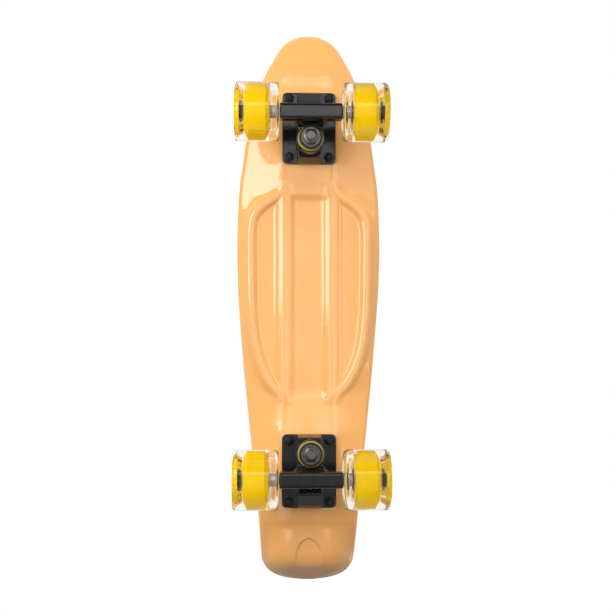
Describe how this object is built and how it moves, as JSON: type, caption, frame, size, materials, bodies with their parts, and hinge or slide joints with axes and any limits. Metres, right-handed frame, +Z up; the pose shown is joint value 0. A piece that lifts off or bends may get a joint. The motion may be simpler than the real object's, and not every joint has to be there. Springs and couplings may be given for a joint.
{
  "type": "cruiser skateboard",
  "caption": "Short moulded plastic cruiser skateboard with a kicked tail, sprung steering trucks and clear wheels.",
  "frame": {"origin": "on the ground, under the middle of the deck's length and width", "axes": "+Z up; +Y from the nose to the tail; +X to the rider's left when the rider faces the nose"},
  "size_m": [0.153, 0.5716, 0.1282],
  "materials": {
    "deck_plastic": "glossy peach-orange moulded plastic",
    "clear_urethane": "clear, slightly warm cast urethane",
    "core_plastic": "yellow moulded plastic",
    "bushing_urethane": "olive-yellow satin urethane",
    "black_paint": "cast aluminium under satin black paint",
    "black_steel": "black oxide steel",
    "plain_steel": "dull grey zinc-plated steel",
    "bearing_steel": "steel with black shields",
    "black_rubber": "matt black urethane"
  },
  "bodies": {
    "board": {"deck": "deck_plastic", "front_bolt_1": "black_steel", "front_bolt_nut_1": "black_steel", "front_bolt_2": "black_steel", "front_bolt_nut_2": "black_steel", "front_bolt_3": "black_steel", "front_bolt_nut_3": "black_steel", "front_bolt_4": "black_steel", "front_bolt_nut_4": "black_steel", "front_base_plate": "black_paint", "front_pivot_cup": "black_rubber", "front_kingpin": "plain_steel", "front_kingpin_nut": "plain_steel", "front_upper_cup_washer": "black_steel", "front_upper_bushing": "bushing_urethane", "front_lower_bushing": "bushing_urethane", "front_lower_cup_washer": "plain_steel", "rear_bolt_1": "black_steel", "rear_bolt_nut_1": "black_steel", "rear_bolt_2": "black_steel", "rear_bolt_nut_2": "black_steel", "rear_bolt_3": "black_steel", "rear_bolt_nut_3": "black_steel", "rear_bolt_4": "black_steel", "rear_bolt_nut_4": "black_steel", "rear_base_plate": "black_paint", "rear_pivot_cup": "black_rubber", "rear_kingpin": "plain_steel", "rear_kingpin_nut": "plain_steel", "rear_upper_cup_washer": "black_steel", "rear_upper_bushing": "bushing_urethane", "rear_lower_bushing": "bushing_urethane", "rear_lower_cup_washer": "plain_steel"},
    "front_truck": {"front_hanger": "black_paint", "front_axle": "black_steel", "front_left_axle_nut": "black_steel", "front_right_axle_nut": "black_steel"},
    "front_left_wheel": {"front_left_tyre": "clear_urethane", "front_left_core": "core_plastic", "front_left_inner_bearing": "bearing_steel", "front_left_outer_bearing": "bearing_steel"},
    "front_right_wheel": {"front_right_tyre": "clear_urethane", "front_right_core": "core_plastic", "front_right_inner_bearing": "bearing_steel", "front_right_outer_bearing": "bearing_steel"},
    "rear_truck": {"rear_hanger": "black_paint", "rear_axle": "black_steel", "rear_left_axle_nut": "black_steel", "rear_right_axle_nut": "black_steel"},
    "rear_left_wheel": {"rear_left_tyre": "clear_urethane", "rear_left_core": "core_plastic", "rear_left_inner_bearing": "bearing_steel", "rear_left_outer_bearing": "bearing_steel"},
    "rear_right_wheel": {"rear_right_tyre": "clear_urethane", "rear_right_core": "core_plastic", "rear_right_inner_bearing": "bearing_steel", "rear_right_outer_bearing": "bearing_steel"}
  },
  "joints": [
    {"name": "front_steer", "type": "hinge", "parent": "board", "child": "front_truck", "pos_m": [0, -0.19975, 0.06731], "axis": [0, 0.8473, -0.5312], "range_deg": [-12, 12], "stiffness_Nm_per_rad": 20, "deforming": ["front_upper_bushing", "front_lower_bushing"]},
    {"name": "front_left_spin", "type": "hinge", "parent": "front_truck", "child": "front_left_wheel", "pos_m": [0, -0.18855, 0.02931], "axis": [1, 0, 0], "continuous": true},
    {"name": "front_right_spin", "type": "hinge", "parent": "front_truck", "child": "front_right_wheel", "pos_m": [0, -0.18855, 0.02931], "axis": [1, 0, 0], "continuous": true},
    {"name": "rear_steer", "type": "hinge", "parent": "board", "child": "rear_truck", "pos_m": [0, 0.18495, 0.06731], "axis": [0, -0.8473, -0.5312], "range_deg": [-12, 12], "stiffness_Nm_per_rad": 20, "deforming": ["rear_upper_bushing", "rear_lower_bushing"]},
    {"name": "rear_left_spin", "type": "hinge", "parent": "rear_truck", "child": "rear_left_wheel", "pos_m": [0, 0.17375, 0.02931], "axis": [1, 0, 0], "continuous": true},
    {"name": "rear_right_spin", "type": "hinge", "parent": "rear_truck", "child": "rear_right_wheel", "pos_m": [0, 0.17375, 0.02931], "axis": [1, 0, 0], "continuous": true}
  ]
}
